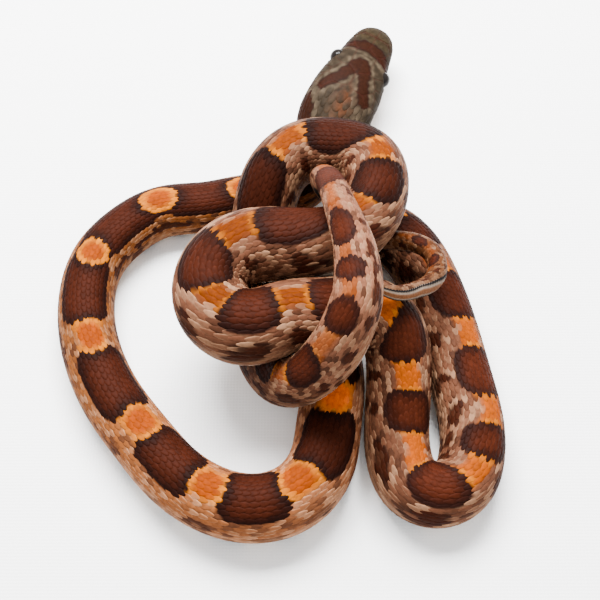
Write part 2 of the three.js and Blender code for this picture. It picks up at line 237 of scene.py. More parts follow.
# Distance from the snout of each bright gap between two saddles, and half its length.
GAPS = np.array([
    (23.0, 1.5), (31.9, 1.8), (41.7, 2.15), (51.9, 1.7), (62.8, 1.9), (74.8, 1.8), (85.2, 1.75),
    (95.4, 1.95), (105.7, 1.7), (115.0, 1.6), (124.3, 1.6), (133.0, 1.5), (140.6, 1.5), (149.8, 1.7),
    (158.8, 1.4), (165.2, 1.25), (174.9, 2.4), (184.1, 1.6), (192.8, 1.6), (200.9, 1.4), (209.6, 1.4),
    (218.4, 1.6), (231.3, 1.6), (239.6, 1.4), (250.9, 1.8), (261.0, 1.6), (270.0, 1.5), (277.5, 1.4),
    (284.7, 1.4), (293.3, 1.4), (298.4, 0.6), (302.3, 0.7), (309.3, 1.8), (316.2, 1.0), (320.5, 1.0),
    (324.8, 0.95), (328.9, 0.9), (332.8, 0.85), (336.5, 0.8), (340.0, 0.75), (343.2, 0.7), (346.2, 0.6),
])

# How far the middle line of the markings is rolled to the snake's left, in degrees, at each distance.
ROLL = np.array([
    (22, 0), (32, 0), (42, 3), (52, 0), (59, -3), (67, -14), (75, -11), (80, -18), (85, -8), (90, -8),
    (95, -10), (101, 3), (106, 8), (113, 0), (140, -8), (149, -18), (159, -22), (165, -5), (170, 11),
    (175, 21), (182, 12), (188, -5), (193, -10), (201, 8), (206, 12), (210, 4), (218, -8), (224, -16),
    (228, -38), (233, -22), (240, -4), (251, 0), (256, -8), (270, 0), (285, -18), (293, -8), (298, 2),
    (302, -14), (306, -14), (312, -10), (320, 0), (328, 5), (334, 30), (338, 70), (341, 160),
    (343.5, 208), (349.5, 214),
])

# Values along the body. Each row is a distance from the snout and the value there. A reach is in
# degrees from the middle of the back, a width in millimetres, and a tone multiplies a colour. The saddle,
# bright and ground tones are partly the body's own colour and partly painted light and shade, lighter or
# darker on each loop as the light falls on it.
OVAL_REACH = [(35, 32), (52, 36), (62, 44)]
SADDLE_REACH = [
    (60, 52), (85, 56), (110, 52), (150, 49), (200, 47), (240, 48), (285, 46), (309, 42), (311, 90),
    (315.5, 90), (317, 40), (346, 30),
]
SADDLE_POWER = [(60, 3.6), (110, 3.4), (280, 3.2), (296, 2.1)]
# Saddle tones: partly the saddles' own colour, partly painted light and shade for how the light falls on each
# loop.
SADDLE_TONE_AND_LIGHT = [
    (140, 1), (150, 1.45), (195, 1.5), (205, 1.05), (230, 1), (240, 0.75), (255, 0.7), (285, 1.2), (300, 1.5),
]
BRIGHT_REACH = [(60, 23), (75, 26), (85, 26), (95, 29), (105, 26), (140, 20), (280, 18)]
BRIGHT_SHARE = [(270, 1), (285, 0.75), (315, 0.7), (330, 0.4)]
# Bright tones: partly the gaps' own colour, partly painted light and shade for how the light falls on each
# loop.
BRIGHT_TONE_AND_LIGHT = [
    (97, 0.84), (104, 2.8), (124, 2.6), (132, 1.3), (145, 1.5), (168, 1.6), (180, 1.9), (195, 1.9),
    (198, 0.62), (228, 0.6), (236, 0.8), (280, 0.8), (288, 1),
]
GOLDEN_SHARE = [(125, 1), (145, 0.75), (195, 0.75), (198, 0.45), (226, 0.45), (234, 0.7)]
GOLDEN_WIDTH = [(110, 0.75), (140, 0.5)]
# Ground tones: partly the flanks' own colour, partly painted light and shade for how the light falls on each
# loop.
GROUND_TONE_AND_LIGHT = [
    (62, 0.95), (75, 1.5), (110, 1.6), (140, 0.95), (195, 0.95), (208, 0.95), (255, 0.72), (285, 0.75),
    (300, 0.8), (320, 0.64), (332, 0.5), (349, 0.45),
]
PALE_SHARE = [(60, 0.35), (130, 0.4), (160, 0.8)]
BELLY_TONE = [(320, 1), (338, 0.42)]
BELLY_STRIPE_END = [(334, 160), (340, 155)]

# Strokes of the head's markings. Each row is distance behind the snout, sideways place with the
# snake's left positive, and half the stroke's width.
SNOUT_BAND = [
    (5.6, 2.9, 0.35), (5.2, 1.9, 0.6), (4.9, 0.9, 0.85), (4.9, -0.4, 0.95), (5.2, -1.6, 0.8),
    (5.9, -2.5, 0.6), (6.6, -3.1, 0.35),
]
SPEAR_LEFT = [
    (7.4, 0.5, 0.5), (8.3, 0.6, 0.85), (9.5, 1, 0.8), (10.8, 1.7, 0.75), (11.7, 2.4, 0.75),
    (12.3, 2.8, 0.65),
]
SPEAR_RIGHT = [
    (7.6, -0.3, 0.7), (8.6, -0.7, 0.9), (9.8, -1.3, 0.65), (11.2, -1.9, 0.8), (12.4, -2.5, 0.85),
]
NAPE_LEFT = [
    (14, 3.7, 0.45), (15, 3.5, 0.85), (16.4, 3.3, 1), (18.5, 3, 0.9),
]
NAPE_RIGHT = [
    (14.9, -3, 0.35), (16, -3.1, 0.8), (18.5, -2.9, 0.8),
]


def natural_cubic(params, rows):
    """A function that runs a natural cubic curve through rows, with no bend at either end."""
    gap = np.diff(params)
    count = len(params)
    matrix = np.zeros((count, count))
    right = np.zeros_like(rows)
    matrix[0, 0] = 1
    matrix[-1, -1] = 1
    for i in range(1, count - 1):
        matrix[i, i - 1] = gap[i - 1]
        matrix[i, i] = 2 * (gap[i - 1] + gap[i])
        matrix[i, i + 1] = gap[i]
        right[i] = 6 * ((rows[i + 1] - rows[i]) / gap[i] - (rows[i] - rows[i - 1]) / gap[i - 1])
    bend = np.linalg.solve(matrix, right)

    def value(x):
        x = np.asarray(x, dtype=float)
        i = np.clip(np.searchsorted(params, x, side="right") - 1, 0, count - 2)
        a = (params[i + 1] - x)[..., None]
        b = (x - params[i])[..., None]
        h = gap[i][..., None]
        curved = (bend[i] * a ** 3 + bend[i + 1] * b ** 3) / (6 * h)
        first = (rows[i] / h - bend[i] * h / 6) * a
        second = (rows[i + 1] / h - bend[i + 1] * h / 6) * b
        return curved + first + second

    return value


def chord_params(points):
    """Total straight distance from the first point to each point."""
    steps = np.linalg.norm(np.diff(points, axis=0), axis=1)
    return np.concatenate(([0.0], np.cumsum(steps)))


route_params = chord_params(ROUTE[:, :3])
route_curve = natural_cubic(route_params, ROUTE)
table_params = np.linspace(0, route_params[-1], 12001)
table_rows = route_curve(table_params)
table_distance = chord_params(table_rows[:, :3])
BODY_LENGTH = table_distance[-1]
table_along = np.gradient(table_rows[:, :3], table_distance, axis=0)
table_along /= np.linalg.norm(table_along, axis=1)[:, None]
table_back = table_rows[:, 4:7] - table_along * np.sum(table_rows[:, 4:7] * table_along, axis=1)[:, None]
table_back /= np.linalg.norm(table_back, axis=1)[:, None]

head_curve = natural_cubic(HEAD_SIZES[:, 0], HEAD_SIZES)


def from_table(distance, columns):
    """Values of a table's columns at each distance from the snout."""
    values = [np.interp(distance, table_distance, column) for column in columns.T]
    return np.stack(values, axis=-1)


def half_width(distance):
    """Half the width of the body or head at each distance from the snout."""
    body = np.interp(distance, table_distance, table_rows[:, 3])
    head = head_curve(np.clip(distance, 0, HEAD_END))[..., 1]
    return np.where(distance >= HEAD_END, body, head)


def smooth_step(low, high, value):
    """0 below low, 1 above high, and an even curve between them."""
    share = np.clip((value - low) / (high - low), 0, 1)
    return share * share * (3 - 2 * share)


def bump(value, width):
    """A smooth hill of height 1 at nil that falls away over the width."""
    return np.exp(-(value / width) ** 2)


def section_at(distance):
    """Half width, height, depth and squareness of the section at each distance."""
    half = np.interp(distance, table_distance, table_rows[:, 3])
    sizes = head_curve(np.clip(distance, 0, HEAD_END))
    short = np.clip(1 - distance / SNOUT_ROUNDING, 0, 1)
    rounding = np.clip(1 - short ** 2.4, 0, 1) ** (1 / 2.4)
    body = distance >= HEAD_END
    wide = np.where(body, half, sizes[..., 1] * rounding)
    up = np.where(body, half * BACK_HEIGHT, sizes[..., 2] * rounding)
    down = np.where(body, half * BELLY_DEPTH, sizes[..., 3] * rounding)
    power = HEAD_POWER + (BACK_POWER - HEAD_POWER) * np.clip((distance - 14) / 6, 0, 1)
    return wide, up, down, power


def section_point(distance, angle):
    """Sideways and upward place on the section at each angle from the middle of the back."""
    wide, up, down, power = section_at(distance)
    sine = np.sin(angle)
    cosine = np.cos(angle)
    top = cosine > 0
    power = np.where(top, power, BELLY_POWER)
    height = np.where(top, up, down)
    across = wide * np.sign(sine) * np.abs(sine) ** (2 / power)
    rise = height * np.sign(cosine) * np.abs(cosine) ** (2 / power)
    return across, rise


def shield_places():
    """Distance, sideways and upward place of the middle of every head shield."""
    rows = list(MIDDLE_SHIELDS)
    for back, degrees in PAIRED_SHIELDS:
        rows.append((back, degrees))
        rows.append((back, -degrees))
    rows = np.array(rows, dtype=float)
    across, rise = section_point(rows[:, 0], np.radians(rows[:, 1]))
    return np.stack([rows[:, 0], across, rise], axis=-1)


SHIELDS = shield_places()


def shield_margin(distance, across, rise):
    """Millimetres from each place to the nearest edge between two head shields."""
    flat = np.stack([distance.ravel(), across.ravel(), rise.ravel()], axis=-1)
    apart = np.linalg.norm(flat[:, None, :] - SHIELDS[None, :, :], axis=2)
    apart.partition(1, axis=1)
    margin = (apart[:, 1] - apart[:, 0]) / 2
    return margin.reshape(distance.shape)


def mouth_height(distance):
    """Height of the line of the mouth above the middle of the head."""
    share = np.clip(distance / MOUTH_LENGTH, 0, 1)
    return MOUTH_HEIGHT - MOUTH_DIP * np.sin(math.pi * share) + 0.12 * share


def head_relief(distance, across, rise):
    """How far the head's surface stands out or in from its plain section, in millimetres."""
    fade = np.clip((MOUTH_LENGTH - distance) / 0.8, 0, 1)
    from_mouth = rise - mouth_height(distance)
    relief = 0.07 * fade * (bump(from_mouth - 0.32, 0.22) + bump(from_mouth + 0.32, 0.22))
    relief -= 0.16 * fade * bump(from_mouth, 0.09)
    from_nostril = np.hypot(distance - 1.5, rise - 0.38)
    relief -= 0.26 * bump(from_nostril, 0.17)
    relief += 0.16 * bump(distance - EYE_BACK, 1.5) * bump(rise - 1.45, 0.3)
    from_eye = np.hypot(distance - EYE_BACK, rise - EYE_UP)
    relief += 0.07 * bump(from_eye - 1.12, 0.15)
    relief -= 0.12 * bump(from_eye, 0.6)
    margin = shield_margin(distance, across, rise)
    shields = smooth_step(14.3, 12.9, distance)
    relief -= 0.055 * shields * bump(margin, 0.07)
    return relief


def surface(distance, angle, lift):
    """Places on the snake's surface, in metres, raised by lift millimetres."""
    distance, angle, lift = np.broadcast_arrays(distance, angle, lift)
    middle = from_table(distance, table_rows[:, :3])
    along = from_table(distance, table_along)
    back = from_table(distance, table_back)
    back = back - along * np.sum(back * along, axis=-1)[..., None]
    back /= np.linalg.norm(back, axis=-1)[..., None]
    side = np.cross(along, back)
    roll = np.radians(np.interp(distance, ROLL[:, 0], ROLL[:, 1]))
    across, rise = section_point(distance, angle + roll)
    reach = np.hypot(across, rise)
    scale = 1 + lift / np.maximum(reach, 0.25)
    place = middle + side * (across * scale)[..., None] + back * (rise * scale)[..., None]
    place[..., 2] = np.maximum(place[..., 2], 0.0)
    return place * MM


def linear(colour):
    """Scene-linear values of a display colour."""
    colour = np.asarray(colour, dtype=float)
    return np.where(colour <= 0.04045, colour / 12.92, ((colour + 0.055) / 1.055) ** 2.4)


def mix(first, second, share):
    """Blend of two colours by a share from 0 to 1."""
    share = np.asarray(share)[..., None]
    return first * (1 - share) + second * share


def set_colours(settings):
    """The colours of the markings, read from the settings, as arrays."""
    names = [
        "saddle", "saddle_border", "orange", "yellow", "flank", "flank_pale", "shield_seam_shade", "flank_brown",
        "orange_rear", "tan", "tail", "belly", "belly_mark", "head", "head_pale", "head_mark", "snout",
    ]
    return {name: np.array(getattr(settings, name)[:3]) for name in names}


def along_body(distance, rows):
    """Value at each distance from the snout, read off rows of distances and values."""
    rows = np.array(rows, dtype=float)
    return np.interp(distance, rows[:, 0], rows[:, 1])


def place_on_body(distance, angle, shade, edge):
    """What the body's markings are worked out from, at each distance and angle.

    left is true on the snake's left, away is in degrees from the middle of the back, arc is the
    millimetres in a degree, and size is the body's width against its widest. front, patched and rear
    are shares of three zones: oval spots joined round by saddles, broad bright patches, and the rest.
    oval and patch are 1 at the edge of a bright spot and less inside it.
    """
    turn = (angle + math.pi) % (2 * math.pi) - math.pi
    half = half_width(distance)
    at = SimpleNamespace(distance=distance, shade=shade, edge=edge, left=turn > 0)
    at.away = np.abs(np.degrees(turn))
    at.arc = math.pi / 180 * half
    at.size = np.clip(half / 3.4, 0.3, 1)
    at.front = smooth_step(75, 55, distance)
    at.patched = smooth_step(56, 64, distance) * smooth_step(120, 106, distance)
    at.rear = smooth_step(54, 62, distance)

    # The nearest gap, and the saddle between the gaps before and after.
    nearest = np.searchsorted((GAPS[1:, 0] + GAPS[:-1, 0]) / 2, distance)
    at.gap_middle = GAPS[nearest, 0]
    at.gap_half = GAPS[nearest, 1]
    at.from_gap = np.abs(distance - at.gap_middle)
    after = np.clip(np.searchsorted(GAPS[:, 0], distance), 1, len(GAPS) - 1)
    start = GAPS[after - 1, 0] + GAPS[after - 1, 1] * (1 - 0.22 * at.patched)
    end = GAPS[after, 0] - GAPS[after, 1] * (1 - 0.22 * at.patched)
    at.saddle_middle = (start + end) / 2
    at.saddle_half = np.maximum((end - start) / 2, 0.4)

    at.oval_reach = along_body(distance, OVAL_REACH)
    at.oval = np.hypot(at.from_gap / at.gap_half, at.away / at.oval_reach)
    at.bright_reach = along_body(distance, BRIGHT_REACH)
    long_part = (at.from_gap / (1.12 * at.gap_half)) ** 2.6
    at.patch = (long_part + (at.away / (at.bright_reach + 7)) ** 2.6) ** (1 / 2.6)
    return at


def saddle_margin(at):
    """Millimetres from each place to the edge of its saddle, positive inside it."""
    oval_margin = (at.oval - 1) * np.minimum(at.gap_half, at.oval_reach * at.arc)
    edge_margin = (52 - 10 * bump(at.from_gap, 1.8) - at.away) * at.arc
    front_margin = np.minimum(oval_margin, edge_margin)

    # Further back the saddles are separate, with square ends and rounded corners.
    reach = along_body(at.distance, SADDLE_REACH)
    power = along_body(at.distance, SADDLE_POWER)
    ratio = (np.abs(at.distance - at.saddle_middle) / at.saddle_half) ** power + (at.away / reach) ** power
    rear_margin = (1 - ratio ** (1 / power)) * np.minimum(at.saddle_half, reach * at.arc)
    patch_margin = (at.patch - 1) * at.gap_half
    rear_margin = np.where(at.patched > 0.5, np.minimum(rear_margin, patch_margin), rear_margin)
    margin = front_margin * (1 - at.rear) + rear_margin * at.rear
    return margin + (at.shade - 0.5) * 0.24


def ground_colour(at, colours):
    """Ground colour of the flanks, streaked scale by scale."""
    ground = mix(colours["tan"], colours["flank"], smooth_step(60, 130, at.distance))
    tail = mix(colours["tail"], colours["tan"], smooth_step(314, 324, at.distance) * 0.8)
    ground = mix(ground, tail, smooth_step(280, 300, at.distance) * 0.8)
    ground = mix(ground, colours["flank_pale"], smooth_step(84, 100, at.away) * 0.4)
    pale = smooth_step(0.55, 0.90, at.shade)
    dark = smooth_step(0.42, 0.15, at.shade)
    ground = mix(ground, colours["flank_pale"], pale * along_body(at.distance, PALE_SHARE))
    ground = mix(ground, colours["flank_brown"], dark * 0.8)
    sides = smooth_step(0.35, 0.95, at.edge)
    ground = mix(ground, colours["flank_pale"], sides * 0.6 * smooth_step(0.42, 0.62, at.shade))
    ground = mix(ground, colours["flank_brown"], sides * 0.5 * smooth_step(0.5, 0.3, at.shade))
    # The ground tone along the body is partly painted light and shade, lighter or darker on each loop as the
    # light falls on it.
    return ground * along_body(at.distance, GROUND_TONE_AND_LIGHT)[..., None]


def add_bright_gaps(colour, at, margin, colours):
    """The bright middle of each gap, golden at its sides and beside the saddles."""
    reach = at.bright_reach
    reached = at.away + (at.shade - 0.5) * 10
    bright = smooth_step(reach + 7, reach - 5, reached) * along_body(at.distance, BRIGHT_SHARE)
    bright = np.where(at.rear < 0.5, smooth_step(1.1, 1.0, at.oval), bright)
    bright = bright * smooth_step(1.5, 1.1, at.from_gap / at.gap_half)
    # The bright tone along the body is partly painted light and shade, lighter or darker on each loop as the
    # light falls on it.
    tone = along_body(at.distance, BRIGHT_TONE_AND_LIGHT) * (0.82 + 0.4 * at.shade)
    orange = mix(colours["orange"], colours["orange_rear"], smooth_step(98, 140, at.distance))
    orange = orange * tone[..., None]
    beside = smooth_step(-along_body(at.distance, GOLDEN_WIDTH), -0.12, margin)
    beside = beside * smooth_step(reach + 10, reach + 2, reached) * smooth_step(300, 285, at.distance)
    patch_side = smooth_step(0.6, 0.95, at.patch) * at.patched
    around = np.where(at.rear < 0.5, smooth_step(0.5, 0.85, at.oval), patch_side)
    golden = np.clip(np.maximum(beside, around) * (0.55 + 0.5 * at.shade), 0, 1)
    orange = mix(orange, colours["yellow"], golden * along_body(at.distance, GOLDEN_SHARE))
    return mix(colour, orange, np.maximum(bright, beside * 0.8))


def add_blotches(colour, at, colours):
    """Small blotches on the flanks: beside the gaps, beside the saddles, and in a lower row."""
    low = smooth_step(60, 70, at.distance) * smooth_step(122, 108, at.distance)
    uneven = 1 + 0.35 * np.sin(at.gap_middle * 1.7 + np.where(at.left, 2.0, 0.0))
    long_half = (1.25 + 1.9 * at.front) * uneven * at.size
    tall_half = 16 - 7 * at.front - 4 * low
    middle = 69 + 4 * at.front + 14 * low
    first = np.hypot((at.distance - at.gap_middle) / long_half, (at.away - middle) / tall_half)
    uneven = 1 + 0.4 * np.sin(at.saddle_middle * 2.3 + np.where(at.left, 1.0, 0.0))
    from_saddle = at.distance - at.saddle_middle
    second = np.hypot(from_saddle / (uneven * at.size), (at.away - 74) / 13) + 0.5 * at.front + 0.6 * low
    third = np.hypot((from_saddle - 0.8) / (1.2 * uneven * at.size), (at.away - 98) / 9)
    nearest = np.minimum(np.minimum(first, second), third) + (at.shade - 0.5) * 0.9
    spot = mix(colours["saddle_border"], colours["saddle"], smooth_step(1.0, 0.6, nearest))
    return mix(colour, spot, smooth_step(1.12, 0.85, nearest) * (0.92 - 0.35 * low))


def add_saddles(colour, at, margin, colours):
    """The saddles, brick red with a nearly black border."""
    border = smooth_step(1.2, 0.15, margin / at.size) * 0.92
    saddle = mix(colours["saddle"], colours["saddle_border"], border)
    # The saddle tone along the body is partly painted light and shade, lighter or darker on each loop as the
    # light falls on it.
    tone = along_body(at.distance, SADDLE_TONE_AND_LIGHT) * (0.85 + 0.3 * at.shade - 0.12 * at.edge)
    tone = tone * (0.92 + 0.3 * smooth_step(0.7, 1.8, margin))
    return mix(colour, saddle * tone[..., None], smooth_step(-0.04, 0.04, margin))


def add_belly(colour, at, colours):
    """The belly, pale with black checks on either side in turn, and black stripes under the tail."""
    under = smooth_step(119, 127, at.away)
    check = np.sin(at.distance * 1.15 + np.where(at.left, 1.7, 0)) + 0.5 * np.sin(at.distance * 0.43 + 2)
    check = smooth_step(0.25, 0.45, check) * smooth_step(176, 168, at.away)
    stripe_end = along_body(at.distance, BELLY_STRIPE_END)
    stripe = smooth_step(300, 306, at.distance) * smooth_step(128, 133, at.away)
    stripe = stripe * smooth_step(stripe_end, stripe_end - 8, at.away)
    dark = np.maximum(check * smooth_step(306, 300, at.distance), stripe)
    middle = smooth_step(334, 340, at.distance) * smooth_step(152, 160, at.away)
    belly = colours["belly"] * along_body(at.distance, BELLY_TONE)[..., None]
    belly = mix(belly, colours["tan"], middle * 0.9)
    belly = mix(belly, colours["belly_mark"], dark)
    return mix(colour, belly, under)


def body_markings(distance, angle, shade, edge, colours):
    """Colours of the body, with shade a random share for each scale and edge 1 at a scale's sides."""
    at = place_on_body(distance, angle, shade, edge)
    margin = saddle_margin(at)
    colour = ground_colour(at, colours)
    colour = add_bright_gaps(colour, at, margin, colours)
    colour = add_blotches(colour, at, colours)
    colour = add_saddles(colour, at, margin, colours)
    return add_belly(colour, at, colours)


def stroke_margin(distance, across, stroke):
    """Millimetres from each place to the edge of a stroke of changing width, positive inside it."""
    best = np.full(distance.shape, -9.0)
    for first, second in zip(stroke[:-1], stroke[1:]):
        run = (second[0] - first[0], second[1] - first[1])
        share = (distance - first[0]) * run[0] + (across - first[1]) * run[1]
        share = np.clip(share / (run[0] ** 2 + run[1] ** 2), 0, 1)
        apart = np.hypot(distance - first[0] - share * run[0], across - first[1] - share * run[1])
        best = np.maximum(best, first[2] + share * (second[2] - first[2]) - apart)
    return best


def head_markings(distance, angle, shade, colours):
    """Colours of the head and nape, with shade a random share for each scale."""
    across, rise = section_point(distance, angle)
    out = np.abs(across)
    wobble = 0.10 * np.sin(distance * 2.9 + across * 3.1) + 0.07 * np.sin(distance * 6.1 - across * 4.2 + 1)
    mottle = 0.5 + 0.5 * np.sin(distance * 4.2 + 1.3 * np.sin(across * 4.0)) * np.sin(across * 3.6 + 2.0)
    light = 0.15 + 0.65 * mottle * smooth_step(5.6, 8.0, distance) + (shade - 0.4) * 0.7
    colour = mix(colours["head"], colours["head_pale"], np.clip(light, 0, 1))
    warm = bump(across + 0.5, 1.1) * bump(distance - 13.6, 2.2)
    colour = mix(colour, colours["orange_rear"], 0.3 * warm * mottle)

    # Snout, olive brown, with a darker seam across it.
    snout = colours["snout"] * (0.72 + 0.55 * mottle)[..., None]
    colour = mix(colour, snout, smooth_step(4.4, 3.4, distance + wobble) * 0.9)
    colour = mix(colour, colours["head_mark"], 0.5 * bump(distance - 2.6 - 0.1 * out, 0.3) * (rise > 0.3))

    # Band in front of the eyes, spear on the crown and patches on the nape.
    margin = np.full(distance.shape, -9.0)
    for stroke in (SNOUT_BAND, SPEAR_LEFT, SPEAR_RIGHT, NAPE_LEFT, NAPE_RIGHT):
        margin = np.maximum(margin, stroke_margin(distance, across, stroke))
    margin = margin + wobble * 0.8 + (shade - 0.4) * 0.15
    inner = mix(colours["saddle_border"], colours["head_mark"], smooth_step(0.02, 0.35, margin))
    colour = mix(colour, inner, smooth_step(-0.07, 0.07, margin) * smooth_step(-0.5, -0.1, rise))
    rim = bump(margin + 0.3, 0.26) * smooth_step(0.0, 0.6, rise) * smooth_step(5.0, 6.5, distance)
    colour = mix(colour, colours["head_pale"] * 2.9, rim * (0.12 + 0.5 * mottle))

    # Stripe from the eye to the corner of the mouth, and the pale lips. The line of the mouth, the nostril
    # and the seams between the shields are painted dark as painted shade in their grooves.
    stripe = np.abs(rise - (0.25 - 0.10 * (distance - EYE_BACK)))
    stripe = smooth_step(0.34, 0.2, stripe) * smooth_step(EYE_BACK + 0.6, EYE_BACK + 1.2, distance)
    stripe = stripe * smooth_step(15.5, 13.5, distance) * (out > 2.6)
    colour = mix(colour, colours["head_mark"], stripe * 0.85)
    lips = smooth_step(0.1, -0.1, rise + 0.03 * distance) * smooth_step(16, 13, distance) * (1 - stripe)
    colour = mix(colour, colours["belly"], lips * 0.25)
    # Painted shade: the line of the mouth is painted dark along its groove.
    mouth = bump(rise - mouth_height(distance), 0.07) * smooth_step(12.0, 11.6, distance)
    colour = mix(colour, colours["belly_mark"], mouth * 0.8)
    # Painted shade: the nostril is painted dark in its hollow.
    nostril = bump(np.hypot(distance - 1.5, rise - 0.38), 0.2)
    colour = mix(colour, colours["belly_mark"], nostril)
    # Painted shade: the seams between the shields are painted darker along their grooves.
    seam = bump(shield_margin(distance, across, rise), 0.06) * smooth_step(14.1, 12.9, distance)
    colour = mix(colour, colours["shield_seam_shade"], seam * 0.35)
    throat = smooth_step(-0.95, -1.35, rise)
    return mix(colour, colours["belly"], throat)


def markings(distance, angle, shade, edge, colours):
    """Colours of the whole snake, head and body, at each distance and angle."""
    body = body_markings(distance, angle, shade, edge, colours)
    head = head_markings(np.minimum(distance, 21.9), angle, shade, colours)
    return mix(head, body, smooth_step(21.0, 22.4, distance + (shade - 0.5) * 0.8))


def skin_uv(distance, angle):
    """Places on an unwrap of the skin, cut into equal lanes that fill a square.

    The last axis holds the corners of one face, which stay together where the unwrap is cut.
    """
    lane_length = BODY_LENGTH / UNWRAP_LANES
    lane = np.clip(np.floor(distance.min(axis=-1, keepdims=True) / lane_length), 0, UNWRAP_LANES - 1)
    around = (angle / (2 * math.pi) + 0.5) % 1
    cut = np.ptp(around, axis=-1, keepdims=True) > 0.5
    around = np.where(cut & (around < 0.5), around + 1, around)
    u = 0.02 + 0.94 * (distance / lane_length - lane)
    v = (lane + 0.04 + 0.92 * around) / UNWRAP_LANES
    return np.stack([u, v], axis=-1)


def make_mesh(name, places, faces, colour, uv, smooth):
    """A mesh object from arrays of places, equal-sized faces, point colours and the corners' UVs."""
    mesh = bpy.data.meshes.new(name)
    corner_count = faces.shape[1]
    mesh.vertices.add(len(places))
    mesh.vertices.foreach_set("co", places.astype(np.float32).ravel())
    mesh.loops.add(faces.size)
    mesh.loops.foreach_set("vertex_index", faces.astype(np.int32).ravel())
    mesh.polygons.add(len(faces))
    starts = np.arange(len(faces), dtype=np.int32) * corner_count
    mesh.polygons.foreach_set("loop_start", starts)
    mesh.polygons.foreach_set("loop_total", np.full(len(faces), corner_count, dtype=np.int32))
    mesh.update(calc_edges=True)
    if colour is not None:
        layer = mesh.color_attributes.new(name="markings", type="FLOAT_COLOR", domain="POINT")
        rgba = np.ones((len(places), 4), dtype=np.float32)
        rgba[:, :3] = colour
        layer.data.foreach_set("color", rgba.ravel())
    if uv is not None:
        uv_layer = mesh.uv_layers.new(name="OFBake")
        uv_layer.data.foreach_set("uv", uv.astype(np.float32).ravel())
    if smooth:
        mesh.polygons.foreach_set("use_smooth", np.ones(len(faces), dtype=bool))
    mesh.validate()
    obj = bpy.data.objects.new(name, mesh)
    bpy.context.scene.collection.objects.link(obj)
    return obj


def grid_faces(rows, columns, closed):
    """Four-cornered faces of a grid of points, turned so that they face outwards."""
    row = np.arange(rows - 1)[:, None]
    count = columns if closed else columns - 1
    column = np.arange(count)[None, :]
    following = (column + 1) % columns
    a = row * columns + column
    b = row * columns + following
    c = (row + 1) * columns + following
    d = (row + 1) * columns + column
    return np.stack([a, b, c, d], axis=-1).reshape(-1, 4)


def repeated_faces(rows, columns, count):
    """Faces of a number of equal open grids of points that follow each other."""
    starts = np.arange(count) * rows * columns
    faces = starts[:, None, None] + grid_faces(rows, columns, False)[None]
    return faces.reshape(-1, 4)


def scale_tops(along, across):
    """Shares of a scale's height over it: low at the root, highest towards the tip, with a faint keel."""
    rise = smooth_step(0.0, 0.55, along)
    crown = 1 - 0.35 * np.abs(across) ** 2.5
    keel = 0.16 * np.exp(-(across / 0.16) ** 2)
    return rise * crown + rise * keel


def build_scales(name, root, size, shade, colours, grid):
    """Joins overlapping leaf-shaped scales in one mesh.

    The root holds the distance and angle of the middle of every scale, and the size its length,
    half angle and height. Each is an array with one entry for each scale.
    """
    along, across = grid
    rows, columns = along.shape
    middle_distance, middle_angle = (value[:, None, None] for value in root)
    length, half_angle, tallness = (value[:, None, None] for value in size)
    spread = np.clip(np.sin(math.pi * np.clip(0.07 + 0.93 * along, 0, 1) ** 0.92), 0, 1) ** 0.62
    rim = (along <= 0) | (along >= 1) | (np.abs(across) >= 1)
    count = len(root[0])
    distance = middle_distance + (along - 0.5)[None] * length
    angle = middle_angle + (across * spread)[None] * half_angle
    lift = np.where(rim[None], -0.35 * tallness, scale_tops(along, across)[None] * tallness)
    distance = np.clip(distance, 0.0, BODY_LENGTH - 0.02)
    places = surface(distance, angle, lift).reshape(-1, 3)
    marked_distance = middle_distance + 0.5 * (distance - middle_distance)
    marked_angle = middle_angle + 0.5 * (angle - middle_angle)
    shade = shade[:, None, None] + np.zeros_like(distance)
    edge = (np.abs(across) * smooth_step(0.2, 0.5, along))[None] + np.zeros_like(distance)
    colour = markings(marked_distance, marked_angle, shade, edge, colours)
    # Painted shade: each scale is darker at its root, where it lies under the scale in front, and a little
    # lighter at its tip.
    tone = 1 - 0.10 * (1 - smooth_step(0.25, 0.5, along)) + 0.05 * smooth_step(0.75, 1, along)
    colour = colour * tone[None, :, :, None]
    faces = repeated_faces(rows, columns, count)
    unwrapped = skin_uv(root[0][:, None], root[1][:, None])
    patch = np.stack([along - 0.5, across * 0.5], axis=-1) * UNWRAP_PATCH
    uv = (unwrapped[:, :, None, :] + patch[None]).reshape(-1, 2)
    return make_mesh(name, places, faces, colour.reshape(-1, 3), uv[faces], True)


def ring_distances(settings):
    """Distance of each ring of scales from the snout, and the spacing there, which follows the width."""
    samples = np.linspace(settings.scales_start, BODY_LENGTH - 0.4, 6000)
    spacing = 0.16 + 0.21 * half_width(samples)
    count = np.concatenate(([0.0], np.cumsum(np.diff(samples) / spacing[1:])))
    rings = np.arange(0, count[-1])
    distances = np.interp(rings, count, samples)
    return distances, np.interp(distances, samples, spacing)


def hashed(first, second, seed):
    """A steady share from 0 to 1 for each pair of whole numbers."""
    value = np.sin(first * 12.9898 + second * 78.233 + seed * 37.719) * 43758.5453
    return value - np.floor(value)


def scale_shade(ring, row):
    """A share from 0 to 1 for each scale, partly shared by neighbours so that streaks form."""
    own = hashed(ring, row, 1)
    streak = hashed(np.floor(ring / 2 + hashed(0, row, 2) * 2), row, 3)
    patch = 0.5 + 0.5 * np.sin(ring * 0.31 + row * 0.7) * np.sin(ring * 0.13 - row * 0.45 + 2)
    return np.clip(0.68 * own + 0.17 * streak + 0.15 * patch, 0, 1)


def set_inputs(node, values):
    """Sets a node's inputs by their names."""
    for name, value in values.items():
        node.inputs[name].default_value = value


def add_node(tree, kind, values):
    """A new node of a kind, with its inputs set."""
    node = tree.nodes.new(kind)
    set_inputs(node, values)
    return node


def start_material(name, values):
    """A new material, its node tree, and its main shader with its inputs set."""
    material = bpy.data.materials.new(name)
    material.use_nodes = True
    shader = material.node_tree.nodes["Principled BSDF"]
    set_inputs(shader, values)
    return material, material.node_tree, shader


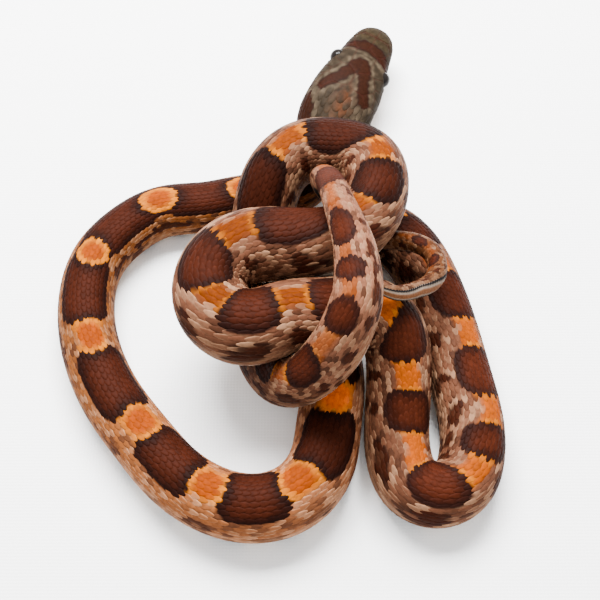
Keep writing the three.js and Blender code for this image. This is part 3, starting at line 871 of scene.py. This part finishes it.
def skin_material():
    """Scaly skin: the markings attribute with fine mottling, a soft gloss and fine bumps."""
    look = {"Roughness": 0.5, "IOR": 1.45, "Specular IOR Level": 0.015}
    material, tree, shader = start_material("scaly_skin", look)
    links = tree.links
    place = add_node(tree, "ShaderNodeTexCoord", {})
    marks = add_node(tree, "ShaderNodeAttribute", {})
    marks.attribute_name = "markings"
    mottle = add_node(tree, "ShaderNodeTexNoise", {"Scale": 2600, "Detail": 3})
    links.new(place.outputs["Object"], mottle.inputs["Vector"])
    spread = {"From Min": 0.3, "From Max": 0.7, "To Min": 0.82, "To Max": 1.18}
    tone = add_node(tree, "ShaderNodeMapRange", spread)
    links.new(mottle.outputs["Fac"], tone.inputs["Value"])
    product = add_node(tree, "ShaderNodeVectorMath", {})
    product.operation = "SCALE"
    links.new(marks.outputs["Color"], product.inputs[0])
    links.new(tone.outputs["Result"], product.inputs["Scale"])
    links.new(product.outputs["Vector"], shader.inputs["Base Color"])
    grain = add_node(tree, "ShaderNodeTexNoise", {"Scale": 9000, "Detail": 2})
    links.new(place.outputs["Object"], grain.inputs["Vector"])
    raised = add_node(tree, "ShaderNodeBump", {"Strength": 0.35, "Distance": 0.00002})
    links.new(grain.outputs["Fac"], raised.inputs["Height"])
    links.new(raised.outputs["Normal"], shader.inputs["Normal"])
    return material


def eye_material(centre, side):
    """Clear-covered eye: a black round pupil inside a dark, faintly brown iris."""
    look = {"Roughness": 0.08, "Specular IOR Level": 0.04, "Coat Weight": 0.06, "Coat Roughness": 0.03}
    material, tree, shader = start_material("wet_eye", look)
    links = tree.links
    place = add_node(tree, "ShaderNodeTexCoord", {})
    apart = add_node(tree, "ShaderNodeVectorMath", {})
    apart.operation = "DISTANCE"
    apart.inputs[1].default_value = tuple(np.asarray(centre) + np.asarray(side) * EYE_RADIUS * MM)
    links.new(place.outputs["Object"], apart.inputs[0])
    pupil_edge = add_node(tree, "ShaderNodeMapRange", {"From Min": 0.32 * MM, "From Max": 0.40 * MM})
    links.new(apart.outputs["Value"], pupil_edge.inputs["Value"])
    blend = add_node(tree, "ShaderNodeMix", {})
    blend.data_type = "RGBA"
    set_inputs(blend, {"A": (0.0015, 0.0015, 0.002, 1), "B": (0.007, 0.0055, 0.005, 1)})
    links.new(pupil_edge.outputs["Result"], blend.inputs["Factor"])
    links.new(blend.outputs["Result"], shader.inputs["Base Color"])
    return material


def cloth_material(settings):
    """Fine white cotton with a plain weave of threads about a third of a millimetre apart."""
    look = {"Base Color": (*settings.cloth, 1), "Roughness": 0.9}
    material, tree, shader = start_material("white_cloth", look)
    links = tree.links
    place = add_node(tree, "ShaderNodeTexCoord", {})
    total = add_node(tree, "ShaderNodeMath", {})
    total.operation = "ADD"
    for slot, direction in enumerate(("X", "Y")):
        wave = add_node(tree, "ShaderNodeTexWave", {"Scale": 900, "Distortion": 0.4})
        wave.bands_direction = direction
        links.new(place.outputs["Object"], wave.inputs["Vector"])
        links.new(wave.outputs["Fac"], total.inputs[slot])
    raised = add_node(tree, "ShaderNodeBump", {"Strength": 0.25, "Distance": 0.00005})
    links.new(total.outputs["Value"], raised.inputs["Height"])
    links.new(raised.outputs["Normal"], shader.inputs["Normal"])
    return material


def colour_property(name, description, display):
    """A colour setting whose default is given as a display colour."""
    return bpy.props.FloatVectorProperty(
        name=name,
        description=description,
        subtype="COLOR",
        size=3,
        min=0.0,
        max=1.0,
        default=tuple(float(v) for v in linear(np.array(display) / 255)),
    )


class SnakeSettings(bpy.types.PropertyGroup):
    """Sizes and colours of the snake."""

    scales_start: bpy.props.FloatProperty(
        name="Scales start", description="Distance from the snout to the first scales, in mm", default=12.9
    )
    rows: bpy.props.IntProperty(name="Scale rows", description="Rows of scales across the back", default=27)
    scale_height: bpy.props.FloatProperty(
        name="Scale height", description="How far a scale's tip stands off the skin, in mm", default=0.042
    )
    saddle: colour_property("Saddle", "Middle of each saddle", (36, 12, 5))
    saddle_border: colour_property("Saddle border", "Dark edge of each saddle", (20, 8, 6))
    orange: colour_property("Orange", "Bright gaps of the front of the body", (112, 44, 0))
    orange_rear: colour_property("Rear orange", "Bright gaps of the rest of the body", (94, 39, 1))
    yellow: colour_property("Yellow", "Scales beside the saddles", (150, 84, 4))
    flank: colour_property("Flank", "Ground colour of the flanks", (80, 48, 33))
    flank_pale: colour_property("Pale flank", "Palest scales of the flanks", (128, 94, 70))
    flank_brown: colour_property("Brown flank", "Browner scales of the flanks", (46, 26, 17))
    tan: colour_property("Tan", "Flanks of the front of the body", (92, 50, 20))
    tail: colour_property("Tail", "Ground colour of the tail", (116, 74, 54))
    belly: colour_property("Belly", "Pale belly scutes", (176, 156, 138))
    belly_mark: colour_property("Belly marks", "Checks and stripes of the belly", (12, 11, 12))
    head: colour_property("Head", "Ground colour of the head", (25, 19, 13))
    head_pale: colour_property("Pale head", "Palest parts of the head", (40, 33, 25))
    head_mark: colour_property("Head marks", "Spear and band of the head", (28, 12, 6))
    # Painted shade in the grooves between the head's shields.
    shield_seam_shade: colour_property("Shield seams", "Seams between the head's shields", (40, 16, 12))
    snout: colour_property("Snout", "Tip of the snout", (33, 26, 16))


class StageSettings(bpy.types.PropertyGroup):
    """The cloth and the light."""

    cloth: bpy.props.FloatVectorProperty(
        name="Cloth", description="Colour of the cloth", subtype="COLOR", size=3, default=(0.92, 0.92, 0.92)
    )
    key_power: bpy.props.FloatProperty(
        name="Key light", description="Power of the main light", default=3.9, unit="POWER"
    )
    sky: bpy.props.FloatProperty(name="Sky", description="Strength of the even light", default=1.7)


def finish_piece(obj, material, nodes):
    """Gives a piece its material and ties it to the body it rides on."""
    obj.data.materials.append(material)
    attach(obj, BODY)
    if nodes:
        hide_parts(*nodes)


def shared_material():
    """The skin material, made once and used by the skin, the scales and the belly."""
    return bpy.data.materials.get("scaly_skin") or skin_material()


class SNAKE_OT_skin(bpy.types.Operator):
    """Build the skin under the scales, with the head and its shields"""

    bl_idname = "snake.skin"
    bl_label = "Skin and head"

    def execute(self, context):
        colours = set_colours(context.scene.snake)
        rings = np.concatenate((
            np.linspace(0.003, TIP_LENGTH, TIP_RINGS)[:-1],
            np.linspace(TIP_LENGTH, FINE_LENGTH, HEAD_RINGS)[:-1],
            np.linspace(FINE_LENGTH, BODY_LENGTH - 0.05, BODY_RINGS),
        ))
        turn = np.arange(SKIN_AROUND) / SKIN_AROUND * 2 * math.pi
        distance, angle = np.meshgrid(rings, turn, indexing="ij")
        relief = np.zeros_like(distance)
        near = rings < HEAD_END
        across, rise = section_point(distance[near], angle[near])
        relief[near] = head_relief(distance[near], across, rise)
        tip_fade = smooth_step(0.0, 0.4, distance)
        places = surface(distance, angle, relief * tip_fade).reshape(-1, 3)
        shade = np.full_like(distance, 0.4)
        colour = markings(distance, angle, shade, np.full_like(distance, 0.3), colours).reshape(-1, 3)

        # The skin between the scales is painted darker than the scales on it, as painted shade in the gaps
        # between them.
        colour *= np.where(distance.ravel() > 13.8, 0.6, 1.0)[:, None]
        faces = grid_faces(len(rings), SKIN_AROUND, True)
        uv = skin_uv(distance.ravel()[faces], angle.ravel()[faces])
        obj = make_mesh("skin", places, faces, colour, uv, True)
        nodes = [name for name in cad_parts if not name.startswith("eye")]
        finish_piece(obj, shared_material(), nodes)
        return {"FINISHED"}


class SNAKE_OT_scales(bpy.types.Operator):
    """Cover the back and flanks with rows of overlapping keeled scales"""

    bl_idname = "snake.scales"
    bl_label = "Back and flank scales"

    def execute(self, context):
        settings = context.scene.snake
        colours = set_colours(settings)
        rings, spacing = ring_distances(settings)
        index = np.arange(len(rings))
        along = np.array([0.0, 0.12, 0.32, 0.55, 0.78, 0.95, 1.0])
        across = np.array([-1.0, -0.86, -0.42, 0.0, 0.42, 0.86, 1.0])
        grid = np.meshgrid(along, across, indexing="ij")
        parts = [
            ("neck_scales", 0, 60, settings.rows),
            ("fore_scales", 60, 130, settings.rows),
            ("middle_scales", 130, 200, settings.rows),
            ("rear_scales", 200, 270, settings.rows),
            ("climb_scales", 270, 304, settings.rows - 4),
            ("tail_scales", 304, 322, 15),
            ("tail_end_scales", 322, 400, 11),
        ]
        for name, start, end, rows in parts:
            chosen = (rings >= start) & (rings < end)
            row = np.arange(rows) - (rows - 1) // 2
            ring_grid, row_grid = np.meshgrid(index[chosen], row, indexing="ij")
            step = np.radians(ROWS_SPAN / rows)
            stagger = np.where(row_grid % 2 == 0, 0.0, 0.5)
            pitch = np.repeat(spacing[chosen][:, None], rows, axis=1)
            distance = np.repeat(rings[chosen][:, None], rows, axis=1) + stagger * pitch
            angle = row_grid * step
            shade = scale_shade(ring_grid, row_grid)
            keep = (distance < BODY_LENGTH - 0.3) & (distance > 12.5 + 1.1 * np.abs(np.sin(angle)))
            distance = distance[keep]
            angle = angle[keep]
            shade = shade[keep]
            pitch = pitch[keep]
            half = half_width(distance)
            height = settings.scale_height * np.clip(half / 3.3, 0.35, 1.1)
            size = (pitch * 1.62, np.full_like(angle, step * 0.66), height)
            obj = build_scales(name, (distance, angle), size, shade, colours, grid)
            finish_piece(obj, shared_material(), [])
        return {"FINISHED"}


def build_belly_scutes(rings, spacing, colours):
    """One wide scute for each ring in front of the tail, each a little longer than the spacing."""
    middle = rings[rings < TAIL_RING]
    pitch = spacing[rings < TAIL_RING]
    along = np.array([0.0, 0.15, 0.5, 0.85, 0.97, 1.0])
    across = np.linspace(-1, 1, 21)
    row, column = np.meshgrid(along, across, indexing="ij")
    distance = middle[:, None, None] + (row - 0.4)[None] * pitch[:, None, None] * 1.3
    angle = math.pi + column[None] * np.radians(SCUTE_HALF) + np.zeros_like(distance)
    rim = (row <= 0) | (row >= 1) | (np.abs(column) >= 1)
    lift = np.where(rim, -0.03, 0.03 + 0.035 * smooth_step(0.1, 0.9, row))[None] + np.zeros_like(distance)
    places = surface(distance, angle, lift).reshape(-1, 3)
    check_at = np.repeat(middle, row.size).reshape(distance.shape)
    even = np.full_like(angle, 0.5)
    colour = markings(check_at, angle, even, 0 * even, colours).reshape(-1, 3)
    faces = repeated_faces(len(along), len(across), len(middle))

    # On the unwrap the scutes lie side by side and don't overlap.
    unwrapped = middle[:, None, None] + (row - 0.5)[None] * pitch[:, None, None]
    uv = skin_uv(unwrapped.ravel()[faces], angle.ravel()[faces])
    return make_mesh("belly_scutes", places, faces, colour, uv, True)


def build_tail_scutes(rings, spacing, colours):
    """Two scutes for each ring of the tail, half the spacing apart."""
    tail = rings >= TAIL_RING
    middle = np.concatenate((rings[tail] - spacing[tail] * 0.25, rings[tail] + spacing[tail] * 0.25))
    side = np.repeat([-1, 1], int(tail.sum()))
    angle = math.pi + side * np.radians(27)
    pitch = np.interp(middle, rings, spacing)
    height = 0.06 * np.clip(half_width(middle) / 3.3, 0.35, 1)
    along = np.array([0.0, 0.12, 0.4, 0.75, 0.95, 1.0])
    across = np.array([-1.0, -0.9, -0.5, 0.0, 0.5, 0.9, 1.0])
    grid = np.meshgrid(along, across, indexing="ij")
    size = (pitch * 1.5, np.full_like(middle, np.radians(33)), height)
    shade = np.full_like(middle, 0.5)
    return build_scales("tail_scutes", (middle, angle), size, shade, colours, grid)


class SNAKE_OT_belly(bpy.types.Operator):
    """Cover the belly with wide scutes, in pairs under the tail"""

    bl_idname = "snake.belly"
    bl_label = "Belly scutes"

    def execute(self, context):
        settings = context.scene.snake
        colours = set_colours(settings)
        rings, spacing = ring_distances(settings)
        belly = build_belly_scutes(rings, spacing, colours)
        finish_piece(belly, shared_material(), [])
        tail = build_tail_scutes(rings, spacing, colours)
        finish_piece(tail, shared_material(), [])
        return {"FINISHED"}


class SNAKE_OT_eyes(bpy.types.Operator):
    """Set a wet, clear-covered eye in each side of the head"""

    bl_idname = "snake.eyes"
    bl_label = "Eyes"

    def execute(self, context):
        middle = from_table(np.array([EYE_BACK]), table_rows[:, :3])[0]
        along = from_table(np.array([EYE_BACK]), table_along)[0]
        back = from_table(np.array([EYE_BACK]), table_back)[0]
        side = np.cross(along, back)
        for name, sign in (("eye_left", 1), ("eye_right", -1)):
            centre = (middle + side * sign * EYE_OUT + back * EYE_UP) * MM
            rows = np.linspace(0.02, math.pi - 0.02, 25)
            columns = np.arange(48) / 48 * 2 * math.pi
            polar, turn = np.meshgrid(rows, columns, indexing="ij")
            out = np.cos(polar)
            round_part = np.sin(polar)
            directions = (
                out[..., None] * side * sign
                + (round_part * np.cos(turn))[..., None] * along
                + (round_part * np.sin(turn))[..., None] * back * sign
            )
            places = centre + directions * EYE_RADIUS * MM
            faces = grid_faces(len(rows), len(columns), True)
            obj = make_mesh("snake_" + name, places.reshape(-1, 3), faces, None, None, True)
            finish_piece(obj, eye_material(centre, side * sign), [name])
        return {"FINISHED"}


class SNAKE_OT_stage(bpy.types.Operator):
    """Lay the white cloth and set the lights and the camera"""

    bl_idname = "snake.stage"
    bl_label = "Cloth, light and camera"

    def execute(self, context):
        settings = context.scene.snake_stage
        corners = np.array([(-1, -1, 0), (1, -1, 0), (1, 1, 0), (-1, 1, 0)]) * CLOTH_HALF
        floor = make_mesh("floor_cloth", corners, np.array([[0, 1, 2, 3]]), None, None, False)
        floor.data.materials.append(cloth_material(settings))

        world = bpy.data.worlds.new("soft_room")
        world.use_nodes = True
        set_inputs(world.node_tree.nodes["Background"], {"Color": (1, 1, 1, 1), "Strength": settings.sky})
        context.scene.world = world

        key = bpy.data.lights.new("key", "AREA")
        key.shape = "RECTANGLE"
        key.size = KEY_LENGTH
        key.size_y = KEY_WIDTH
        key.energy = settings.key_power
        lamp = bpy.data.objects.new("key", key)
        context.scene.collection.objects.link(lamp)
        lamp.location = KEY_PLACE
        aim(lamp, KEY_TARGET)

        camera_data = bpy.data.cameras.new("camera")
        camera_data.sensor_width = 36
        camera_data.lens = CAMERA_LENS
        camera_data.clip_start = 0.005
        camera_data.clip_end = 5
        camera = bpy.data.objects.new("camera", camera_data)
        context.scene.collection.objects.link(camera)
        elevation = math.radians(CAMERA_ELEVATION)
        outward = np.array([0, -math.cos(elevation), math.sin(elevation)])
        camera.location = tuple(np.array(CAMERA_TARGET) + outward * CAMERA_REACH)
        camera.rotation_euler = (math.pi / 2 - elevation, 0, 0)
        context.scene.camera = camera
        return {"FINISHED"}


def aim(obj, target):
    """Turns an object so that its local minus Z points at the target."""
    ahead = np.asarray(target) - np.asarray(obj.location)
    tilt = math.atan2(math.hypot(ahead[0], ahead[1]), -ahead[2])
    obj.rotation_euler = (tilt, 0, math.atan2(ahead[1], ahead[0]) - math.pi / 2)


class SNAKE_PT_panel(bpy.types.Panel):
    """Sidebar panel with the settings and the steps"""

    bl_idname = "SNAKE_PT_panel"
    bl_label = "Corn snake"
    bl_space_type = "VIEW_3D"
    bl_region_type = "UI"
    bl_category = "Snake"

    def draw(self, context):
        layout = self.layout
        for group in (context.scene.snake, context.scene.snake_stage):
            for name in group.bl_rna.properties.keys():
                if name not in {"rna_type", "name"}:
                    layout.prop(group, name)
        for operator in STEPS:
            layout.operator(operator.bl_idname)


STEPS = (SNAKE_OT_stage, SNAKE_OT_skin, SNAKE_OT_scales, SNAKE_OT_belly, SNAKE_OT_eyes)
CLASSES = (SnakeSettings, StageSettings, *STEPS, SNAKE_PT_panel)


def register():
    """Registers the classes and adds the settings to the scene."""
    for item in CLASSES:
        bpy.utils.register_class(item)
    bpy.types.Scene.snake = bpy.props.PointerProperty(type=SnakeSettings)
    bpy.types.Scene.snake_stage = bpy.props.PointerProperty(type=StageSettings)


def unregister():
    """Removes what register added."""
    del bpy.types.Scene.snake_stage
    del bpy.types.Scene.snake
    for item in reversed(CLASSES):
        bpy.utils.unregister_class(item)


def main():
    """Builds everything in order."""
    register()
    bpy.ops.snake.stage()
    bpy.ops.snake.skin()
    bpy.ops.snake.scales()
    bpy.ops.snake.belly()
    bpy.ops.snake.eyes()


if __name__ == "__main__":
    main()
